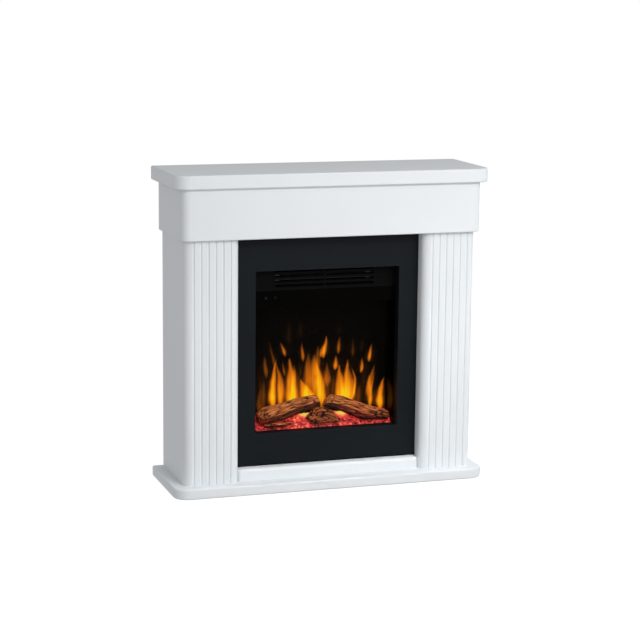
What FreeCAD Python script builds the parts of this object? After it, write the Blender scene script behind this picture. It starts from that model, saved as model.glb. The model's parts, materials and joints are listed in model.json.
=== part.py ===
import FreeCAD, Part
import math
import os

# Compact electric fireplace: a white boarded surround with fluted columns, and a black
# steel insert that holds a log set, a flame projector and a fan heater.
# Millimetres. +Z is up and -Y is the front. The origin is at the middle of the floor footprint.

Vector = FreeCAD.Vector
X_AXIS = Vector(1, 0, 0)
Y_AXIS = Vector(0, 1, 0)
Z_AXIS = Vector(0, 0, 1)
SIDES = ((-1, "left"), (1, "right"))

# Surround
WIDTH = 800.0
DEPTH = 250.0
HEIGHT = 784.0
FRONT = -DEPTH / 2
BACK = DEPTH / 2
BASE_THICKNESS = 26.0
SHELF_THICKNESS = 34.0
SLAB_CORNER = 36.0
SLAB_EDGE = 4.0
BOARD = 16.0
FACE_BOARD = 25.0
FRIEZE_WIDTH = 762.0
FRIEZE_FRONT = -110.5
FRIEZE_EDGE = 3.0
FRIEZE_BOTTOM = 626.0
SHELF_BOTTOM = HEIGHT - SHELF_THICKNESS
COLUMN_INNER = 235.0
COLUMN_OUTER = 372.0
COLUMN_FRONT = -96.5
COLUMN_CORNER = 21.0
FLUTE_COUNT = 6
FLUTE_PITCH = 18.2
FLUTE_RADIUS = 2.7
SILL_TOP = 56.0
SILL_FRONT = -84.0
SILL_CORNER = 9.0
SILL_ROUND = 8.5
SILL_DEPTH = 60.0
RAIL_WIDTH = 30.0
BACK_RAIL_HEIGHT = 52.0

# Wooden joints and fixings of the surround
CAM_BOLT_RADIUS = 3.0
CAM_BOLT_DEPTH = 12.0
CAM_HEIGHT = 34.0
CAM_LOCK_RADIUS = 7.5
CAM_LOCK_LENGTH = 12.5
CAM_INSET = 5.0
CAM_ROWS = (-35.0, 75.0)
DOWEL_RADIUS = 4.0
DOWEL_LENGTH = 30.0
DOWEL_IN_BASE = 14.0
DOWEL_IN_SOFFIT = 12.0
DOWEL_SPREAD = 38.0
BRACKET_LEG = 30.0
BRACKET_WIDTH = 16.0
BRACKET_STEEL = 2.0
BRACKET_SPOTS = (-300.0, -100.0, 100.0, 300.0)
WALL_BRACKET_LEG = 44.0
WALL_BRACKET_WIDTH = 20.0
WALL_HOLE_SPACING = 600.0
WALL_HOLE_RADIUS = 2.75
WALL_HOLE_HEIGHT = 722.0

# Black trim around the opening
TRIM_FRONT = -59.5
TRIM_DEPTH = 15.0
TRIM_SHEET = 1.5
OPENING_HALF = 185.0
OPENING_BOTTOM = 137.0
OPENING_TOP = 540.5
VENT_HEIGHT = 3.2
VENT_HALF = 183.5
STUD_RADIUS = 3.5
STUD_BORE = 1.5
STUD_LINE = 205.0
STILE_STUD_LEVELS = (220.0, 460.0)
BAR_STUDS = ((120.0, 110.0), (120.0, 575.0))

# Steel case of the insert
SHEET = 1.2
CASE_HALF = 222.0
CASE_BOTTOM = 57.0
CASE_TOP = 604.0
CASE_FRONT = TRIM_FRONT + TRIM_DEPTH
CASE_BACK = 106.0
REAR_FLANGE = 13.0
REAR_SCREW_LEVELS = (85.0, 250.0, 415.0, 580.0)
SLIT = 5.0
SLIT_PITCH = 14.0
SIDE_SLITS = 6
SIDE_SLITS_LEVEL = 500.0
BACK_SLIT_ROWS = 5
BACK_SLIT_COLUMNS = 8
BACK_SLITS_LEVEL = 522.0
BACK_SLIT_SPREAD = 34.0
END_SLITS = 9
END_SLIT_SPREAD = 40.0
END_SLIT_HALF = 15.0
END_SLIT_DEPTH = 8.0
TAB_STEEL = 1.5
TAB_LEVELS = (160.0, 500.0)
JAMB_HALF = 186.0
FASCIA_FRONT = -31.5
FASCIA_THICKNESS = 3.0
FASCIA_BACK = FASCIA_FRONT + FASCIA_THICKNESS
FASCIA_HALF = 196.0
GLASS_BOTTOM = 128.0
GLASS_TOP = 452.0
GRILLE_BOTTOM = 487.0
GRILLE_TOP = 552.0
SHELF_LEVEL = 482.0

# Louvres of the warm air grille
SLOT_COUNT = 4
SLOT_HEIGHT = 7.0
SLOT_PITCH = 12.6
SLOT_TOP = 539.0
SLOT_HALF = 128.0
BLIND_HALF = 170.0
RIB_REACH = 4.0
GRILLE_DIVIDER = 2.0
BLIND_DEPTH = 1.6

# Push buttons
BUTTON_SIZE = 17.0
BUTTON_CENTRES = (-151.0, -127.5)
BUTTON_LEVEL = 470.0
BUTTON_GAP = 0.35
BUTTON_TRAVEL = 1.5
BUTTON_PROUD = 0.4
COLLAR = 1.2
COLLAR_GAP = 0.2
KEY_EDGE = 0.7
BEZEL_RECESS = 0.6
STEM_LENGTH = 3.2
SWITCH_DEPTH = 3.4
BEZEL_HALF_WIDTH = 23.5
BEZEL_HALF_HEIGHT = 12.5

# Firebox
SCREEN_FRONT = 30.0
SCREEN_THICKNESS = 4.0
TRAY_LEVEL = 120.0
BED_FRONT = -27.0
BED_WALL = 2.5
STENCIL_Y = 50.0
ROTOR_Y = 80.0
ROTOR_Z = 168.0
ROTOR_REACH = 20.0
ROTOR_ROWS = 12
SPINDLE_RADIUS = 3.0
RUNNING_GAP = 0.05
ROTOR_BUSH_RADIUS = 6.0
ROTOR_PLATE = 1.5
FLAG_HALF_WIDTH = 9.0
FLAG_HALF_THICKNESS = 0.4

# Fan heater
FAN_Y = 45.0
FAN_Z = 556.0
FAN_RADIUS = 22.0
FAN_HALF = 116.0
FAN_BLADES = 18
SCROLL_RADIUS = 27.0
DUCT_HALF = 126.0
DUCT_FRONT = FASCIA_BACK + RIB_REACH + 2
SHAFT_RADIUS = 2.5
FAN_BUSH_RADIUS = 7.0
MOTOR_GAP = 24.0
MOTOR_LENGTH = 18.0
MOTOR_ROTOR_RADIUS = 10.5
HEATER_HALF = 112.0
HEATER_DEPTH = 14.0
HEATER_BARS = (512.0, 534.0)
FIN_COUNT = 44

# Leads inside the insert
LEAD_RADIUS = 2.8
LEAD_LINE = 204.0

# Mains entry at the back
GLAND_X = 168.0
GLAND_Z = 92.0
GLAND_BORE = 3.75
GLAND_THREAD = 8.0
GLAND_FLANGE = 11.0
GLAND_CAP = 9.0
GLAND_NUT = 12.0


def block(x0, x1, y0, y1, z0, z1):
    """A box between two corners, given in any order."""
    low = Vector(min(x0, x1), min(y0, y1), min(z0, z1))
    return Part.makeBox(abs(x1 - x0), abs(y1 - y0), abs(z1 - z0), low)


def rod(radius, length, start, direction):
    """A cylinder from a start point."""
    return Part.makeCylinder(radius, length, Vector(*start), direction)


def ring(outer, inner, length, start, direction):
    """A tube from a start point."""
    return rod(outer, length, start, direction).cut(rod(inner, length, start, direction))


def prism_x(outline, x0, x1):
    """A solid of one (y, z) outline, drawn along X."""
    corners = [Vector(x0, y, z) for y, z in outline]
    face = Part.Face(Part.makePolygon(corners + corners[:1]))
    return face.extrude(Vector(x1 - x0, 0, 0))


def group(solids):
    """Separate solids kept together in one node."""
    return Part.makeCompound(solids)


def joined(solids):
    """Solids welded into one."""
    return solids[0].multiFuse(solids[1:]).removeSplitter()


def upright_edges(shape, y_level):
    """The vertical edges of a board at one depth."""
    found = []
    for edge in shape.Edges:
        ends = [vertex.Point for vertex in edge.Vertexes]
        is_upright = abs(ends[0].z - ends[-1].z) > 1 and abs(ends[0].x - ends[-1].x) < 1e-6
        if is_upright and all(abs(point.y - y_level) < 1e-6 for point in ends):
            found.append(edge)
    return found


def rim_edges(shape, z_level, y_back):
    """The edges around a slab at one height, without the one along its back."""
    found = []
    for edge in shape.Edges:
        box = edge.BoundBox
        at_level = abs(box.ZMin - z_level) < 1e-4 and abs(box.ZMax - z_level) < 1e-4
        if at_level and box.YMin < y_back - 1:
            found.append(edge)
    return found


def slab(half_width, z0, z1, corner, edge_round):
    """A full-depth slab with round front corners and softened front and side edges."""
    board = block(-half_width, half_width, FRONT, BACK, z0, z1)
    board = board.makeFillet(corner, upright_edges(board, FRONT))
    edges = rim_edges(board, z1, BACK) + rim_edges(board, z0, BACK)
    return board.makeFillet(edge_round, edges)


# ---------------------------------------------------------------- surround

def cam_places():
    """The inner face, its direction and the row of each cam joint in the column side boards."""
    for side, _ in SIDES:
        for face, inward in ((COLUMN_OUTER - BOARD, -1), (COLUMN_INNER + BOARD, 1)):
            for y in CAM_ROWS:
                yield side * face, side * inward, y


def cam_bolt_solids():
    """Cam bolts stand in the base and hang from the soffit."""
    bolts = []
    length = CAM_BOLT_DEPTH + CAM_HEIGHT
    for face, inward, y in cam_places():
        x = face - inward * CAM_INSET
        bolts.append(rod(CAM_BOLT_RADIUS, length, (x, y, BASE_THICKNESS - CAM_BOLT_DEPTH), Z_AXIS))
        bolts.append(rod(CAM_BOLT_RADIUS, length, (x, y, FRIEZE_BOTTOM - CAM_HEIGHT), Z_AXIS))
    return bolts


def cam_lock_solids():
    """Cam discs let into the inner faces of the column boards, around the bolts, and their sockets."""
    locks = []
    sockets = []
    bolts = group(cam_bolt_solids())
    for face, inward, y in cam_places():
        for z in (BASE_THICKNESS + CAM_HEIGHT - 4, FRIEZE_BOTTOM - CAM_HEIGHT + 4):
            disc = rod(CAM_LOCK_RADIUS, CAM_LOCK_LENGTH, (face, y, z), X_AXIS * -inward)
            slot = block(face, face - inward * 1.5, y - 1, y + 1, z - 5, z + 5)
            locks.append(disc.cut(bolts).cut(slot))
            sockets.append(disc)
    return locks, sockets


def dowel_solids():
    """Wooden dowels that line the column fronts up with the base and the soffit."""
    dowels = []
    y = COLUMN_FRONT + FACE_BOARD - 2 * DOWEL_RADIUS
    centre = (COLUMN_INNER + COLUMN_OUTER) / 2
    for side, _ in SIDES:
        for shift in (-DOWEL_SPREAD, DOWEL_SPREAD):
            x = side * (centre + shift)
            low = BASE_THICKNESS - DOWEL_IN_BASE
            high = FRIEZE_BOTTOM + DOWEL_IN_SOFFIT - DOWEL_LENGTH
            dowels.append(rod(DOWEL_RADIUS, DOWEL_LENGTH, (x, y, low), Z_AXIS))
            dowels.append(rod(DOWEL_RADIUS, DOWEL_LENGTH, (x, y, high), Z_AXIS))
    return dowels


def column_front(side):
    """The fluted face board of one column, with both its front edges rounded."""
    y_back = COLUMN_FRONT + FACE_BOARD
    x0 = side * COLUMN_INNER
    x1 = side * COLUMN_OUTER
    board = block(x0, x1, COLUMN_FRONT, y_back, BASE_THICKNESS, FRIEZE_BOTTOM)
    board = board.makeFillet(COLUMN_CORNER, upright_edges(board, COLUMN_FRONT))
    middle = side * (COLUMN_INNER + COLUMN_OUTER) / 2
    height = FRIEZE_BOTTOM - BASE_THICKNESS
    for index in range(FLUTE_COUNT):
        x = middle + (index - (FLUTE_COUNT - 1) / 2) * FLUTE_PITCH
        board = board.cut(rod(FLUTE_RADIUS, height, (x, COLUMN_FRONT, BASE_THICKNESS), Z_AXIS))
    return board


def column_side(side, x_face, inward):
    """One flat side board of a column; inward points to the hollow of the column."""
    y_front = COLUMN_FRONT + FACE_BOARD
    x0 = side * x_face
    x1 = side * (x_face + inward * BOARD)
    return block(x0, x1, y_front, BACK, BASE_THICKNESS, FRIEZE_BOTTOM)


def frieze_front():
    """The deep front board under the shelf, with rounded ends and a softened lower edge."""
    half = FRIEZE_WIDTH / 2
    y_back = FRIEZE_FRONT + FACE_BOARD
    board = block(-half, half, FRIEZE_FRONT, y_back, FRIEZE_BOTTOM, SHELF_BOTTOM)
    board = board.makeFillet(COLUMN_CORNER, upright_edges(board, FRIEZE_FRONT))
    return board.makeFillet(FRIEZE_EDGE, rim_edges(board, FRIEZE_BOTTOM, y_back))


def frieze_side(side):
    """The side return of the frieze, back to the wall."""
    outer = side * FRIEZE_WIDTH / 2
    y_front = FRIEZE_FRONT + FACE_BOARD
    return block(outer, outer - side * BOARD, y_front, BACK, FRIEZE_BOTTOM, SHELF_BOTTOM)


def soffit():
    """The board that closes the frieze below and stands on the columns."""
    half = FRIEZE_WIDTH / 2 - BOARD
    return block(-half, half, FRIEZE_FRONT + FACE_BOARD, BACK, FRIEZE_BOTTOM, FRIEZE_BOTTOM + BOARD)


def back_rail():
    """The stiffening rail across the back of the frieze."""
    half = FRIEZE_WIDTH / 2 - BOARD
    z0 = FRIEZE_BOTTOM + BOARD
    return block(-half, half, BACK - BOARD, BACK, z0, z0 + BACK_RAIL_HEIGHT)


def hearth_sill():
    """The low hearth strip between the columns, rounded along its front top edge and its ends."""
    y_back = SILL_FRONT + SILL_DEPTH
    strip = block(-COLUMN_INNER, COLUMN_INNER, SILL_FRONT, y_back, BASE_THICKNESS, SILL_TOP)
    strip = strip.makeFillet(SILL_CORNER, upright_edges(strip, SILL_FRONT))
    front_top = []
    for edge in strip.Edges:
        box = edge.BoundBox
        if abs(box.ZMin - SILL_TOP) < 1e-4 and box.YMax < SILL_FRONT + 10:
            front_top.append(edge)
    return strip.makeFillet(SILL_ROUND, front_top)


def support_rail(side):
    """A batten on the base that carries one side of the insert."""
    outer = side * (CASE_HALF - 2)
    y0 = SILL_FRONT + SILL_DEPTH
    return block(outer, outer - side * RAIL_WIDTH, y0, CASE_BACK, BASE_THICKNESS, CASE_BOTTOM)


def screw(head, direction, length, radius=2.0, head_radius=3.6, head_height=2.0):
    """A pan-head screw: head is the middle of the head's underside, direction is where it goes in."""
    point = Vector(*head)
    shank = Part.makeCylinder(radius, length, point, direction)
    cap = Part.makeCylinder(head_radius, head_height, point - direction * head_height, direction)
    return joined([shank, cap])


def frieze_brackets():
    """Steel angles under the shelf that hold the frieze board, with their screws."""
    y = FRIEZE_FRONT + FACE_BOARD
    z = SHELF_BOTTOM
    brackets = []
    screws = []
    for x in BRACKET_SPOTS:
        x0 = x - BRACKET_WIDTH / 2
        x1 = x + BRACKET_WIDTH / 2
        top_leg = block(x0, x1, y, y + BRACKET_LEG, z - BRACKET_STEEL, z)
        front_leg = block(x0, x1, y, y + BRACKET_STEEL, z - BRACKET_LEG, z)
        up = screw((x, y + 20, z - BRACKET_STEEL), Z_AXIS, 15)
        forward = screw((x, y + BRACKET_STEEL, z - 20), -Y_AXIS, 15)
        brackets.append(joined([top_leg, front_leg]).cut(up).cut(forward))
        screws += [up, forward]
    return brackets, screws


def wall_brackets():
    """Steel angles at the back that hold the shelf to a wall, with their screws."""
    brackets = []
    screws = []
    for side, _ in SIDES:
        x = side * WALL_HOLE_SPACING / 2
        x0 = x - WALL_BRACKET_WIDTH / 2
        x1 = x + WALL_BRACKET_WIDTH / 2
        low = SHELF_BOTTOM - WALL_BRACKET_LEG
        top_leg = block(x0, x1, BACK - WALL_BRACKET_LEG, BACK, SHELF_BOTTOM - BRACKET_STEEL, SHELF_BOTTOM)
        wall_leg = block(x0, x1, BACK - BRACKET_STEEL, BACK, low, SHELF_BOTTOM)
        hole_start = (x, BACK - 5, WALL_HOLE_HEIGHT)
        bracket = joined([top_leg, wall_leg]).cut(rod(WALL_HOLE_RADIUS, 10, hole_start, Y_AXIS))
        for y in (BACK - 34, BACK - 18):
            fixing = screw((x, y, SHELF_BOTTOM - BRACKET_STEEL), Z_AXIS, 16)
            bracket = bracket.cut(fixing)
            screws.append(fixing)
        brackets.append(bracket)
    return brackets, screws


def surround(tab_screws):
    """All boards and fixings of the surround; tab_screws go into the inner column boards."""
    bolts = cam_bolt_solids()
    locks, sockets = cam_lock_solids()
    dowels = dowel_solids()
    brackets, bracket_screws = frieze_brackets()
    wall_angles, wall_screws = wall_brackets()
    holes = group(bolts + sockets + dowels)
    screws = group(bracket_screws + wall_screws)
    nodes = {}
    nodes["base_plinth"] = slab(WIDTH / 2, 0, BASE_THICKNESS, SLAB_CORNER, SLAB_EDGE).cut(holes)
    nodes["mantel_shelf"] = slab(WIDTH / 2, SHELF_BOTTOM, HEIGHT, SLAB_CORNER, SLAB_EDGE).cut(screws)
    nodes["frieze_front"] = frieze_front().cut(screws)
    nodes["soffit_board"] = soffit().cut(holes)
    nodes["back_rail"] = back_rail()
    nodes["hearth_sill"] = hearth_sill()
    for side, name in SIDES:
        nodes["column_front_" + name] = column_front(side).cut(holes)
        outer_board = column_side(side, COLUMN_OUTER, -1).cut(holes)
        inner_board = column_side(side, COLUMN_INNER, 1).cut(holes).cut(tab_screws)
        nodes["column_sides_" + name] = group([outer_board, inner_board])
    nodes["frieze_sides"] = group([frieze_side(side) for side, _ in SIDES])
    nodes["support_rails"] = group([support_rail(side) for side, _ in SIDES])
    nodes["cam_bolts"] = group(bolts)
    nodes["cam_locks"] = group(locks)
    nodes["dowels"] = group(dowels)
    nodes["frieze_brackets"] = group(brackets)
    nodes["wall_brackets"] = group(wall_angles)
    return nodes, bracket_screws + wall_screws


# ---------------------------------------------------------------- trim and case

def trim_stud_places():
    """The studs behind the trim: two on each stile and two on each bar."""
    places = []
    for side, _ in SIDES:
        places += [(side * STUD_LINE, z) for z in STILE_STUD_LEVELS]
        places += [(side * x, z) for x, z in BAR_STUDS]
    return places


def stud(x, z):
    """A threaded stud welded to the back of the trim's face."""
    y0 = TRIM_FRONT + TRIM_SHEET
    return ring(STUD_RADIUS, STUD_BORE, CASE_FRONT - y0, (x, y0, z), Y_AXIS)


def trim_bar(z0, z1, lip_level, return_level):
    """A full-width folded bar; lip_level is its edge at the opening, return_level its far edge."""
    half = COLUMN_INNER
    inward = 1 if lip_level < return_level else -1
    y0 = TRIM_FRONT
    y1 = TRIM_FRONT + TRIM_SHEET
    face = block(-half, half, y0, y1, z0, z1)
    lip = block(-OPENING_HALF, OPENING_HALF, y1, CASE_FRONT, lip_level, lip_level + inward * TRIM_SHEET)
    far = block(-half, half, y1, CASE_FRONT, return_level, return_level - inward * TRIM_SHEET)
    studs = [stud(x, z) for x, z in trim_stud_places() if z0 < z < z1]
    return joined([face, lip, far] + studs)


def trim_stile(side):
    """An upright folded stile between the two bars."""
    y1 = TRIM_FRONT + TRIM_SHEET
    inner = side * OPENING_HALF
    outer = side * COLUMN_INNER
    face = block(inner, outer, TRIM_FRONT, y1, OPENING_BOTTOM, OPENING_TOP)
    lip = block(inner, inner + side * TRIM_SHEET, y1, CASE_FRONT, OPENING_BOTTOM, OPENING_TOP)
    far = block(outer, outer - side * TRIM_SHEET, y1, CASE_FRONT, OPENING_BOTTOM, OPENING_TOP)
    places = trim_stud_places()
    studs = [stud(x, z) for x, z in places if x * side > OPENING_HALF and OPENING_BOTTOM < z < OPENING_TOP]
    return joined([face, lip, far] + studs)


def trim_screws():
    """Screws from inside the case into the trim's studs."""
    screws = []
    for x, z in trim_stud_places():
        screws.append(screw((x, CASE_FRONT + SHEET, z), -Y_AXIS, 10, 1.5, 3.0, 1.8))
    return screws


def trim():
    """The four pieces of the black frame."""
    bottom = trim_bar(SILL_TOP, OPENING_BOTTOM, OPENING_BOTTOM, SILL_TOP)
    vent = block(-VENT_HALF, VENT_HALF, TRIM_FRONT, CASE_FRONT, SILL_TOP, SILL_TOP + VENT_HEIGHT)
    nodes = {}
    nodes["trim_bottom"] = bottom.cut(vent)
    nodes["trim_top"] = trim_bar(OPENING_TOP, FRIEZE_BOTTOM, OPENING_TOP, FRIEZE_BOTTOM)
    for side, name in SIDES:
        nodes["trim_" + name] = trim_stile(side)
    return nodes


def rear_screw_places():
    """Where the back cover is screwed to the side flanges of the case."""
    x = CASE_HALF - REAR_FLANGE / 2
    return [(side * x, z) for side, _ in SIDES for z in REAR_SCREW_LEVELS]


def case_side(side):
    """A side sheet of the case with its front flange, jamb and rear flange."""
    outer = side * CASE_HALF
    inner = side * (CASE_HALF - SHEET)
    wall = block(outer, inner, CASE_FRONT, CASE_BACK, CASE_BOTTOM, CASE_TOP)
    y1 = CASE_FRONT + SHEET
    flange = block(side * JAMB_HALF, inner, CASE_FRONT, y1, OPENING_BOTTOM, OPENING_TOP)
    jamb_x = side * JAMB_HALF
    jamb = block(jamb_x, jamb_x + side * SHEET, y1, FASCIA_FRONT, OPENING_BOTTOM, OPENING_TOP)
    z0 = CASE_BOTTOM + SHEET
    rear_x = side * (CASE_HALF - REAR_FLANGE)
    rear = block(inner, rear_x, CASE_BACK - SHEET, CASE_BACK, z0, CASE_TOP - SHEET)
    sheet = joined([wall, flange, jamb, rear])
    for index in range(SIDE_SLITS):
        z = SIDE_SLITS_LEVEL + index * SLIT_PITCH
        sheet = sheet.cut(block(outer, inner, -10, 60, z, z + SLIT))
    return sheet


def case_end(plate_level, edge_level, name):
    """The floor or roof of the case: a plate, a front flange and a jamb along the opening."""
    inner = CASE_HALF - SHEET
    up = 1 if edge_level > plate_level else -1
    y1 = CASE_FRONT + SHEET
    far = plate_level + up * SHEET
    plate = block(-inner, inner, CASE_FRONT, CASE_BACK - SHEET, plate_level, far)
    flange = block(-inner, inner, CASE_FRONT, y1, far, edge_level)
    jamb = block(-JAMB_HALF, JAMB_HALF, y1, FASCIA_FRONT, edge_level - up * SHEET, edge_level)
    sheet = joined([plate, flange, jamb])
    for index in range(END_SLITS):
        x = (index - (END_SLITS - 1) / 2) * END_SLIT_SPREAD
        x0 = x - END_SLIT_HALF
        x1 = x + END_SLIT_HALF
        y0 = 50 if name == "floor" else 60
        sheet = sheet.cut(block(x0, x1, y0, y0 + END_SLIT_DEPTH, plate_level, far))
        if name == "floor":
            sheet = sheet.cut(block(x0, x1, CASE_FRONT, CASE_FRONT + SHEET, 66, 66 + SLIT))
    return sheet


def back_cover():
    """The rear sheet with its intake slots and the hole for the cable gland."""
    y1 = CASE_BACK + SHEET
    sheet = block(-CASE_HALF, CASE_HALF, CASE_BACK, y1, CASE_BOTTOM, CASE_TOP)
    for row in range(BACK_SLIT_ROWS):
        for column in range(BACK_SLIT_COLUMNS):
            x = (column - (BACK_SLIT_COLUMNS - 1) / 2) * BACK_SLIT_SPREAD
            z = BACK_SLITS_LEVEL + row * SLIT_PITCH
            sheet = sheet.cut(block(x - 12, x + 12, CASE_BACK, y1, z, z + SLIT))
    return sheet


def insert_tabs():
    """Steel tabs that tie the back of the insert to the inner column boards, with screws."""
    tabs = []
    screws = []
    for side, _ in SIDES:
        x0 = side * COLUMN_INNER
        x1 = side * (COLUMN_INNER - TAB_STEEL)
        y0 = CASE_BACK + SHEET
        y1 = y0 + TAB_STEEL
        for z in TAB_LEVELS:
            board_leg = block(x0, x1, 84, y1, z - 10, z + 10)
            case_leg = block(x1, side * 205, y0, y1, z - 10, z + 10)
            into_board = screw((x1, 94, z), X_AXIS * side, 14)
            into_case = screw((side * (CASE_HALF - REAR_FLANGE / 2), y1, z), -Y_AXIS, 6)
            tabs.append(joined([board_leg, case_leg]).cut(into_board).cut(into_case))
            screws += [into_board, into_case]
    return tabs, screws


def insert_case(tabs, tab_screws):
    """The sheet-metal box of the insert and what fastens it."""
    cover_screws = []
    for x, z in rear_screw_places():
        cover_screws.append(screw((x, CASE_BACK + SHEET, z), -Y_AXIS, 6))
    front_screws = group(trim_screws())
    rear_screws = group(cover_screws + tab_screws)
    gland_hole = rod(GLAND_THREAD, 20, (GLAND_X, CASE_BACK - 10, GLAND_Z), Y_AXIS)
    nodes = {}
    for side, name in SIDES:
        nodes["case_side_" + name] = case_side(side).cut(front_screws).cut(rear_screws)
    nodes["case_floor"] = case_end(CASE_BOTTOM, OPENING_BOTTOM, "floor").cut(front_screws)
    nodes["case_roof"] = case_end(CASE_TOP, OPENING_TOP, "roof").cut(front_screws)
    nodes["back_cover"] = back_cover().cut(rear_screws).cut(gland_hole)
    nodes["insert_tabs"] = group(tabs)
    return nodes, cover_screws + trim_screws()


# ---------------------------------------------------------------- fascia and glass

def louvre_grille():
    """The warm air grille: open slots in the middle, blind ribs at the ends, one divider."""
    y0 = FASCIA_FRONT
    y1 = FASCIA_BACK
    plate = block(-FASCIA_HALF, FASCIA_HALF, y0, y1, GRILLE_BOTTOM, GRILLE_TOP)
    for row in range(SLOT_COUNT):
        top = SLOT_TOP - row * SLOT_PITCH
        bottom = top - SLOT_HEIGHT
        for side, _ in SIDES:
            plate = plate.cut(block(side * GRILLE_DIVIDER, side * SLOT_HALF, y0, y1, bottom, top))
            blind_x = side * (SLOT_HALF + 5)
            plate = plate.cut(block(blind_x, side * BLIND_HALF, y0, y0 + BLIND_DEPTH, bottom, top))
    blades = []
    for row in range(SLOT_COUNT):
        z = SLOT_TOP - row * SLOT_PITCH - SLOT_HEIGHT
        outline = [(y1, z - 1.2), (y1 + RIB_REACH, z + 1.6), (y1 + RIB_REACH, z + 2.8), (y1, z)]
        blades.append(prism_x(outline, -SLOT_HALF, SLOT_HALF))
    return joined([plate] + blades)


def control_panel():
    """The gloss strip over the glass, with a recessed bezel and two button holes."""
    y0 = FASCIA_FRONT
    y1 = FASCIA_BACK
    panel = block(-FASCIA_HALF, FASCIA_HALF, y0, y1, GLASS_TOP, GRILLE_BOTTOM)
    middle = sum(BUTTON_CENTRES) / 2
    z0 = BUTTON_LEVEL - BEZEL_HALF_HEIGHT
    z1 = BUTTON_LEVEL + BEZEL_HALF_HEIGHT
    recess = block(middle - BEZEL_HALF_WIDTH, middle + BEZEL_HALF_WIDTH, y0, y0 + BEZEL_RECESS, z0, z1)
    panel = panel.cut(recess)
    half = BUTTON_SIZE / 2 + BUTTON_GAP
    for x in BUTTON_CENTRES:
        panel = panel.cut(block(x - half, x + half, y0, y1, BUTTON_LEVEL - half, BUTTON_LEVEL + half))
    return panel


def push_button(x):
    """A square key with softened edges, a collar behind the panel and a stem for its switch."""
    half = BUTTON_SIZE / 2
    wide = half + COLLAR
    y0 = FASCIA_FRONT - BUTTON_PROUD
    y1 = FASCIA_BACK + COLLAR_GAP
    y2 = y1 + COLLAR
    cap = block(x - half, x + half, y0, y1, BUTTON_LEVEL - half, BUTTON_LEVEL + half)
    front_edges = [edge for edge in cap.Edges if edge.BoundBox.YMax < y0 + 0.1]
    cap = cap.makeFillet(KEY_EDGE, front_edges)
    collar = block(x - wide, x + wide, y1, y2, BUTTON_LEVEL - wide, BUTTON_LEVEL + wide)
    stem = rod(2.5, STEM_LENGTH, (x, y2, BUTTON_LEVEL), Y_AXIS)
    return joined([cap, collar, stem])


def button_board():
    """The small circuit board behind the keys, on its two posts, and its two switches."""
    stem_end = FASCIA_BACK + COLLAR_GAP + COLLAR + STEM_LENGTH
    y0 = stem_end + BUTTON_TRAVEL + 0.2 + SWITCH_DEPTH
    middle = sum(BUTTON_CENTRES) / 2
    board = block(middle - 30, middle + 30, y0, y0 + 1.6, BUTTON_LEVEL - 12, BUTTON_LEVEL + 7)
    posts = []
    for x in (middle - 26, middle + 26):
        start = FASCIA_BACK
        posts.append(rod(2.0, y0 - start, (x, start, BUTTON_LEVEL), Y_AXIS))
    switches = []
    for x in BUTTON_CENTRES:
        body = block(x - 3, x + 3, y0 - SWITCH_DEPTH, y0, BUTTON_LEVEL - 3, BUTTON_LEVEL + 3)
        switches.append(body)
    return board, posts, switches


def glass_clips():
    """Spring clips on the case sides that press the glass and the fascia forward."""
    y0 = FASCIA_BACK
    wall = CASE_HALF - SHEET
    clips = []
    for side, _ in SIDES:
        for z in (180.0, 400.0, 469.0, 530.0):
            arm = block(side * 189, side * wall, y0, y0 + 1, z - 8, z + 8)
            leg = block(side * (wall - 1), side * wall, y0, y0 + 16, z - 8, z + 8)
            clips.append(joined([arm, leg]))
    return clips


def fascia():
    """Everything in the plane of the glass, and the keys with their board."""
    y0 = FASCIA_FRONT
    board, posts, switches = button_board()
    nodes = {}
    nodes["louvre_grille"] = louvre_grille()
    nodes["control_panel"] = joined([control_panel()] + posts)
    nodes["glass_pane"] = block(-FASCIA_HALF, FASCIA_HALF, y0, FASCIA_BACK, GLASS_BOTTOM, GLASS_TOP)
    nodes["glass_clips"] = group(glass_clips())
    nodes["flame_button"] = push_button(BUTTON_CENTRES[0])
    nodes["heat_button"] = push_button(BUTTON_CENTRES[1])
    nodes["button_board"] = group([board] + switches)
    return nodes


# ---------------------------------------------------------------- firebox

def bed_outline(inset):
    """The ember bed's side profile: low at the glass and rising to the flame screen."""
    back = SCREEN_FRONT - 1.0
    front = BED_FRONT
    floor = TRAY_LEVEL + SHEET
    top = [(front, 131.0), (-16.0, 139.0), (0.0, 147.0), (14.0, 156.0), (back, 161.0)]
    corners = [(front + inset, floor), (front + inset, top[0][1] - inset)]
    corners += [(y, z - inset) for y, z in top[1:-1]]
    corners += [(back - inset, top[-1][1] - inset), (back - inset, floor)]
    return corners


def ember_bed():
    """The moulded translucent shell of glowing coals, hollow below."""
    shell = prism_x(bed_outline(0), -JAMB_HALF + 2, JAMB_HALF - 2)
    hollow = prism_x(bed_outline(BED_WALL), -JAMB_HALF + 2 + BED_WALL, JAMB_HALF - 2 - BED_WALL)
    return shell.cut(hollow)


def log(stations):
    """A cast log lofted through slightly uneven rings; a station is centre, radii and direction."""
    rings = []
    corner_count = 10
    for index, (centre, radius, direction) in enumerate(stations):
        axis = Vector(*direction).normalize()
        across = axis.cross(Z_AXIS).normalize()
        upward = across.cross(axis)
        points = []
        for corner in range(corner_count):
            angle = 2 * math.pi * corner / corner_count
            swell = radius * (1 + 0.06 * math.sin(3 * angle + 1.7 * index))
            offset = across * math.cos(angle) + upward * math.sin(angle)
            points.append(Vector(*centre) + offset * swell)
        rings.append(Part.makePolygon(points + points[:1]))
    return Part.makeLoft(rings, True, True)


def wedge(front, y_front, back, y_back):
    """A short split log that lies along Y, between its front and its back (x, z) outlines."""
    rings = []
    for outline, y in ((front, y_front), (back, y_back)):
        points = [Vector(x, y, z) for x, z in outline]
        rings.append(Part.makePolygon(points + points[:1]))
    return Part.makeLoft(rings, True, True)


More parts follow.
